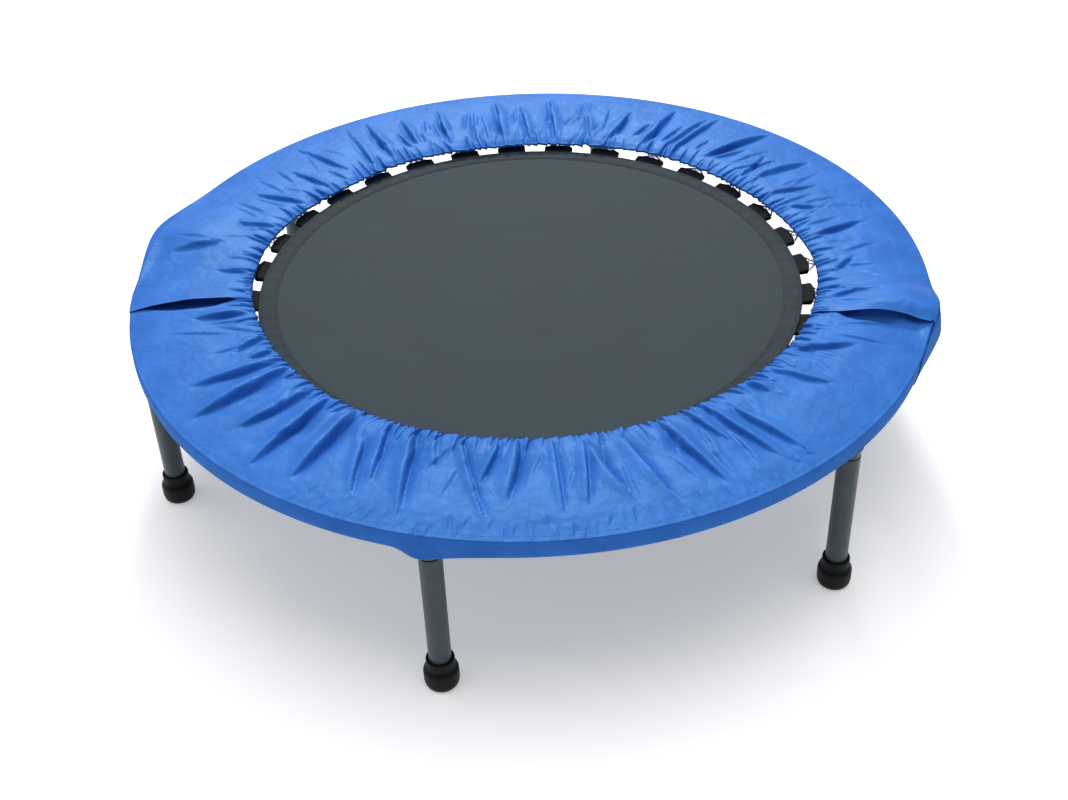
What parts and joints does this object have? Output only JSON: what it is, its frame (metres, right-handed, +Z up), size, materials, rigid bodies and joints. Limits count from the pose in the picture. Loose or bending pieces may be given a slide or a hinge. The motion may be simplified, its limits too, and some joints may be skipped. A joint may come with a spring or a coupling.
{
  "type": "mini trampoline",
  "caption": "Round folding mini trampoline: hinged two-part tube ring on screw-in legs with rubber feet, sprung woven jumping mat and a gathered fabric cover over the springs.",
  "frame": {"origin": "on the floor under the centre of the mat, the centre of the bounding box's bottom face", "axes": "+Z up; X along the fold axis through both hinges; -Y towards the front half, +Y towards the rear half"},
  "size_m": [0.9732, 0.971, 0.2395],
  "materials": {
    "frame_paint": "satin powder coat, dark grey",
    "leg_paint": "satin powder coat, dark grey green",
    "hinge_steel": "bright zinc plate",
    "spring_steel": "zinc-plated spring wire",
    "mat_fabric": "matt woven polypropylene, slate grey",
    "webbing": "black ribbed webbing",
    "cover_fabric": "plain-woven polyester with a soft sheen, blue",
    "foot_rubber": "matt black moulded rubber"
  },
  "bodies": {
    "front_frame": {"front_frame_tube": "frame_paint", "hinge_fork_left": "frame_paint", "hinge_fork_right": "frame_paint", "hinge_bolt_left": "hinge_steel", "hinge_bolt_right": "hinge_steel", "hinge_nut_left": "hinge_steel", "hinge_nut_right": "hinge_steel", "cover_front": "cover_fabric"},
    "rear_frame": {"rear_frame_tube": "frame_paint", "hinge_lug_left": "frame_paint", "hinge_lug_right": "frame_paint", "cover_rear": "cover_fabric"},
    "mat_front": {"mat_front": "mat_fabric"},
    "mat_rear": {"mat_rear": "mat_fabric"},
    "spring_01": {"spring_01": "spring_steel"},
    "spring_02": {"spring_02": "spring_steel"},
    "spring_03": {"spring_03": "spring_steel"},
    "spring_04": {"spring_04": "spring_steel"},
    "spring_05": {"spring_05": "spring_steel"},
    "spring_06": {"spring_06": "spring_steel"},
    "spring_07": {"spring_07": "spring_steel"},
    "spring_08": {"spring_08": "spring_steel"},
    "spring_09": {"spring_09": "spring_steel"},
    "spring_10": {"spring_10": "spring_steel"},
    "spring_11": {"spring_11": "spring_steel"},
    "spring_12": {"spring_12": "spring_steel"},
    "spring_13": {"spring_13": "spring_steel"},
    "spring_14": {"spring_14": "spring_steel"},
    "spring_15": {"spring_15": "spring_steel"},
    "spring_16": {"spring_16": "spring_steel"},
    "spring_17": {"spring_17": "spring_steel"},
    "spring_18": {"spring_18": "spring_steel"},
    "spring_19": {"spring_19": "spring_steel"},
    "spring_20": {"spring_20": "spring_steel"},
    "spring_21": {"spring_21": "spring_steel"},
    "spring_22": {"spring_22": "spring_steel"},
    "spring_23": {"spring_23": "spring_steel"},
    "spring_24": {"spring_24": "spring_steel"},
    "spring_25": {"spring_25": "spring_steel"},
    "spring_26": {"spring_26": "spring_steel"},
    "spring_27": {"spring_27": "spring_steel"},
    "spring_28": {"spring_28": "spring_steel"},
    "spring_29": {"spring_29": "spring_steel"},
    "spring_30": {"spring_30": "spring_steel"},
    "spring_31": {"spring_31": "spring_steel"},
    "spring_32": {"spring_32": "spring_steel"},
    "leg_1": {"leg_1": "leg_paint", "foot_1": "foot_rubber"},
    "leg_2": {"leg_2": "leg_paint", "foot_2": "foot_rubber"},
    "leg_3": {"leg_3": "leg_paint", "foot_3": "foot_rubber"},
    "leg_4": {"leg_4": "leg_paint", "foot_4": "foot_rubber"},
    "leg_5": {"leg_5": "leg_paint", "foot_5": "foot_rubber"},
    "leg_6": {"leg_6": "leg_paint", "foot_6": "foot_rubber"}
  },
  "joints": [
    {"name": "frame_fold", "type": "hinge", "parent": "front_frame", "child": "rear_frame", "pos_m": [0, 0, 0.2335], "axis": [1, 0, 0], "range_deg": [0, 180]},
    {"name": "mat_bounce", "type": "slide", "parent": "front_frame", "child": "mat_front", "axis": [0, 0, 1], "range_m": [-0.03, 0], "stiffness_N_per_m": 6000, "springref_m": 0.01},
    {"name": "mat_fold", "type": "hinge", "parent": "mat_front", "child": "mat_rear", "pos_m": [0, 0, 0.2335], "axis": [1, 0, 0], "range_deg": [0, 180]},
    {"name": "spring_01_tilt", "type": "hinge", "parent": "rear_frame", "child": "spring_01", "pos_m": [0.45132, 0.04445, 0.214], "axis": [-0.098, 0.9952, 0], "range_deg": [-17.6, 0.5]},
    {"name": "spring_02_tilt", "type": "hinge", "parent": "rear_frame", "child": "spring_02", "pos_m": [0.43397, 0.13164, 0.214], "axis": [-0.2903, 0.9569, 0], "range_deg": [-17.6, 0.5]},
    {"name": "spring_03_tilt", "type": "hinge", "parent": "rear_frame", "child": "spring_03", "pos_m": [0.39995, 0.21378, 0.214], "axis": [-0.4714, 0.8819, 0], "range_deg": [-17.6, 0.5]},
    {"name": "spring_04_tilt", "type": "hinge", "parent": "rear_frame", "child": "spring_04", "pos_m": [0.35056, 0.2877, 0.214], "axis": [-0.6344, 0.773, 0], "range_deg": [-17.6, 0.5]},
    {"name": "spring_05_tilt", "type": "hinge", "parent": "rear_frame", "child": "spring_05", "pos_m": [0.2877, 0.35056, 0.214], "axis": [-0.773, 0.6344, 0], "range_deg": [-17.6, 0.5]},
    {"name": "spring_06_tilt", "type": "hinge", "parent": "rear_frame", "child": "spring_06", "pos_m": [0.21378, 0.39995, 0.214], "axis": [-0.8819, 0.4714, 0], "range_deg": [-17.6, 0.5]},
    {"name": "spring_07_tilt", "type": "hinge", "parent": "rear_frame", "child": "spring_07", "pos_m": [0.13164, 0.43397, 0.214], "axis": [-0.9569, 0.2903, 0], "range_deg": [-17.6, 0.5]},
    {"name": "spring_08_tilt", "type": "hinge", "parent": "rear_frame", "child": "spring_08", "pos_m": [0.04445, 0.45132, 0.214], "axis": [-0.9952, 0.098, 0], "range_deg": [-17.6, 0.5]},
    {"name": "spring_09_tilt", "type": "hinge", "parent": "rear_frame", "child": "spring_09", "pos_m": [-0.04445, 0.45132, 0.214], "axis": [-0.9952, -0.098, 0], "range_deg": [-17.6, 0.5]},
    {"name": "spring_10_tilt", "type": "hinge", "parent": "rear_frame", "child": "spring_10", "pos_m": [-0.13164, 0.43397, 0.214], "axis": [-0.9569, -0.2903, 0], "range_deg": [-17.6, 0.5]},
    {"name": "spring_11_tilt", "type": "hinge", "parent": "rear_frame", "child": "spring_11", "pos_m": [-0.21378, 0.39995, 0.214], "axis": [-0.8819, -0.4714, 0], "range_deg": [-17.6, 0.5]},
    {"name": "spring_12_tilt", "type": "hinge", "parent": "rear_frame", "child": "spring_12", "pos_m": [-0.2877, 0.35056, 0.214], "axis": [-0.773, -0.6344, 0], "range_deg": [-17.6, 0.5]},
    {"name": "spring_13_tilt", "type": "hinge", "parent": "rear_frame", "child": "spring_13", "pos_m": [-0.35056, 0.2877, 0.214], "axis": [-0.6344, -0.773, 0], "range_deg": [-17.6, 0.5]},
    {"name": "spring_14_tilt", "type": "hinge", "parent": "rear_frame", "child": "spring_14", "pos_m": [-0.39995, 0.21378, 0.214], "axis": [-0.4714, -0.8819, 0], "range_deg": [-17.6, 0.5]},
    {"name": "spring_15_tilt", "type": "hinge", "parent": "rear_frame", "child": "spring_15", "pos_m": [-0.43397, 0.13164, 0.214], "axis": [-0.2903, -0.9569, 0], "range_deg": [-17.6, 0.5]},
    {"name": "spring_16_tilt", "type": "hinge", "parent": "rear_frame", "child": "spring_16", "pos_m": [-0.45132, 0.04445, 0.214], "axis": [-0.098, -0.9952, 0], "range_deg": [-17.6, 0.5]},
    {"name": "spring_17_tilt", "type": "hinge", "parent": "front_frame", "child": "spring_17", "pos_m": [-0.45132, -0.04445, 0.214], "axis": [0.098, -0.9952, 0], "range_deg": [-17.6, 0.5]},
    {"name": "spring_18_tilt", "type": "hinge", "parent": "front_frame", "child": "spring_18", "pos_m": [-0.43397, -0.13164, 0.214], "axis": [0.2903, -0.9569, 0], "range_deg": [-17.6, 0.5]},
    {"name": "spring_19_tilt", "type": "hinge", "parent": "front_frame", "child": "spring_19", "pos_m": [-0.39995, -0.21378, 0.214], "axis": [0.4714, -0.8819, 0], "range_deg": [-17.6, 0.5]},
    {"name": "spring_20_tilt", "type": "hinge", "parent": "front_frame", "child": "spring_20", "pos_m": [-0.35056, -0.2877, 0.214], "axis": [0.6344, -0.773, 0], "range_deg": [-17.6, 0.5]},
    {"name": "spring_21_tilt", "type": "hinge", "parent": "front_frame", "child": "spring_21", "pos_m": [-0.2877, -0.35056, 0.214], "axis": [0.773, -0.6344, 0], "range_deg": [-17.6, 0.5]},
    {"name": "spring_22_tilt", "type": "hinge", "parent": "front_frame", "child": "spring_22", "pos_m": [-0.21378, -0.39995, 0.214], "axis": [0.8819, -0.4714, 0], "range_deg": [-17.6, 0.5]},
    {"name": "spring_23_tilt", "type": "hinge", "parent": "front_frame", "child": "spring_23", "pos_m": [-0.13164, -0.43397, 0.214], "axis": [0.9569, -0.2903, 0], "range_deg": [-17.6, 0.5]},
    {"name": "spring_24_tilt", "type": "hinge", "parent": "front_frame", "child": "spring_24", "pos_m": [-0.04445, -0.45132, 0.214], "axis": [0.9952, -0.098, 0], "range_deg": [-17.6, 0.5]},
    {"name": "spring_25_tilt", "type": "hinge", "parent": "front_frame", "child": "spring_25", "pos_m": [0.04445, -0.45132, 0.214], "axis": [0.9952, 0.098, 0], "range_deg": [-17.6, 0.5]},
    {"name": "spring_26_tilt", "type": "hinge", "parent": "front_frame", "child": "spring_26", "pos_m": [0.13164, -0.43397, 0.214], "axis": [0.9569, 0.2903, 0], "range_deg": [-17.6, 0.5]},
    {"name": "spring_27_tilt", "type": "hinge", "parent": "front_frame", "child": "spring_27", "pos_m": [0.21378, -0.39995, 0.214], "axis": [0.8819, 0.4714, 0], "range_deg": [-17.6, 0.5]},
    {"name": "spring_28_tilt", "type": "hinge", "parent": "front_frame", "child": "spring_28", "pos_m": [0.2877, -0.35056, 0.214], "axis": [0.773, 0.6344, 0], "range_deg": [-17.6, 0.5]},
    {"name": "spring_29_tilt", "type": "hinge", "parent": "front_frame", "child": "spring_29", "pos_m": [0.35056, -0.2877, 0.214], "axis": [0.6344, 0.773, 0], "range_deg": [-17.6, 0.5]},
    {"name": "spring_30_tilt", "type": "hinge", "parent": "front_frame", "child": "spring_30", "pos_m": [0.39995, -0.21378, 0.214], "axis": [0.4714, 0.8819, 0], "range_deg": [-17.6, 0.5]},
    {"name": "spring_31_tilt", "type": "hinge", "parent": "front_frame", "child": "spring_31", "pos_m": [0.43397, -0.13164, 0.214], "axis": [0.2903, 0.9569, 0], "range_deg": [-17.6, 0.5]},
    {"name": "spring_32_tilt", "type": "hinge", "parent": "front_frame", "child": "spring_32", "pos_m": [0.45132, -0.04445, 0.214], "axis": [0.098, 0.9952, 0], "range_deg": [-17.6, 0.5]},
    {"name": "leg_1_unscrew", "type": "slide", "parent": "front_frame", "child": "leg_1", "axis": [0, 0, 1], "range_m": [-0.022, 0]},
    {"name": "leg_2_unscrew", "type": "slide", "parent": "front_frame", "child": "leg_2", "axis": [0, 0, 1], "range_m": [-0.022, 0]},
    {"name": "leg_3_unscrew", "type": "slide", "parent": "front_frame", "child": "leg_3", "axis": [0, 0, 1], "range_m": [-0.022, 0]},
    {"name": "leg_4_unscrew", "type": "slide", "parent": "rear_frame", "child": "leg_4", "axis": [0, 0, 1], "range_m": [-0.022, 0]},
    {"name": "leg_5_unscrew", "type": "slide", "parent": "rear_frame", "child": "leg_5", "axis": [0, 0, 1], "range_m": [-0.022, 0]},
    {"name": "leg_6_unscrew", "type": "slide", "parent": "rear_frame", "child": "leg_6", "axis": [0, 0, 1], "range_m": [-0.022, 0]}
  ],
  "couplings": [
    {"joint": "mat_fold", "follows": "frame_fold", "ratio": 1},
    {"joint": "spring_01_tilt", "follows": "mat_bounce", "rad_per_m": 9.9502},
    {"joint": "spring_02_tilt", "follows": "mat_bounce", "rad_per_m": 9.9502},
    {"joint": "spring_03_tilt", "follows": "mat_bounce", "rad_per_m": 9.9502},
    {"joint": "spring_04_tilt", "follows": "mat_bounce", "rad_per_m": 9.9502},
    {"joint": "spring_05_tilt", "follows": "mat_bounce", "rad_per_m": 9.9502},
    {"joint": "spring_06_tilt", "follows": "mat_bounce", "rad_per_m": 9.9502},
    {"joint": "spring_07_tilt", "follows": "mat_bounce", "rad_per_m": 9.9502},
    {"joint": "spring_08_tilt", "follows": "mat_bounce", "rad_per_m": 9.9502},
    {"joint": "spring_09_tilt", "follows": "mat_bounce", "rad_per_m": 9.9502},
    {"joint": "spring_10_tilt", "follows": "mat_bounce", "rad_per_m": 9.9502},
    {"joint": "spring_11_tilt", "follows": "mat_bounce", "rad_per_m": 9.9502},
    {"joint": "spring_12_tilt", "follows": "mat_bounce", "rad_per_m": 9.9502},
    {"joint": "spring_13_tilt", "follows": "mat_bounce", "rad_per_m": 9.9502},
    {"joint": "spring_14_tilt", "follows": "mat_bounce", "rad_per_m": 9.9502},
    {"joint": "spring_15_tilt", "follows": "mat_bounce", "rad_per_m": 9.9502},
    {"joint": "spring_16_tilt", "follows": "mat_bounce", "rad_per_m": 9.9502},
    {"joint": "spring_17_tilt", "follows": "mat_bounce", "rad_per_m": 9.9502},
    {"joint": "spring_18_tilt", "follows": "mat_bounce", "rad_per_m": 9.9502},
    {"joint": "spring_19_tilt", "follows": "mat_bounce", "rad_per_m": 9.9502},
    {"joint": "spring_20_tilt", "follows": "mat_bounce", "rad_per_m": 9.9502},
    {"joint": "spring_21_tilt", "follows": "mat_bounce", "rad_per_m": 9.9502},
    {"joint": "spring_22_tilt", "follows": "mat_bounce", "rad_per_m": 9.9502},
    {"joint": "spring_23_tilt", "follows": "mat_bounce", "rad_per_m": 9.9502},
    {"joint": "spring_24_tilt", "follows": "mat_bounce", "rad_per_m": 9.9502},
    {"joint": "spring_25_tilt", "follows": "mat_bounce", "rad_per_m": 9.9502},
    {"joint": "spring_26_tilt", "follows": "mat_bounce", "rad_per_m": 9.9502},
    {"joint": "spring_27_tilt", "follows": "mat_bounce", "rad_per_m": 9.9502},
    {"joint": "spring_28_tilt", "follows": "mat_bounce", "rad_per_m": 9.9502},
    {"joint": "spring_29_tilt", "follows": "mat_bounce", "rad_per_m": 9.9502},
    {"joint": "spring_30_tilt", "follows": "mat_bounce", "rad_per_m": 9.9502},
    {"joint": "spring_31_tilt", "follows": "mat_bounce", "rad_per_m": 9.9502},
    {"joint": "spring_32_tilt", "follows": "mat_bounce", "rad_per_m": 9.9502}
  ]
}
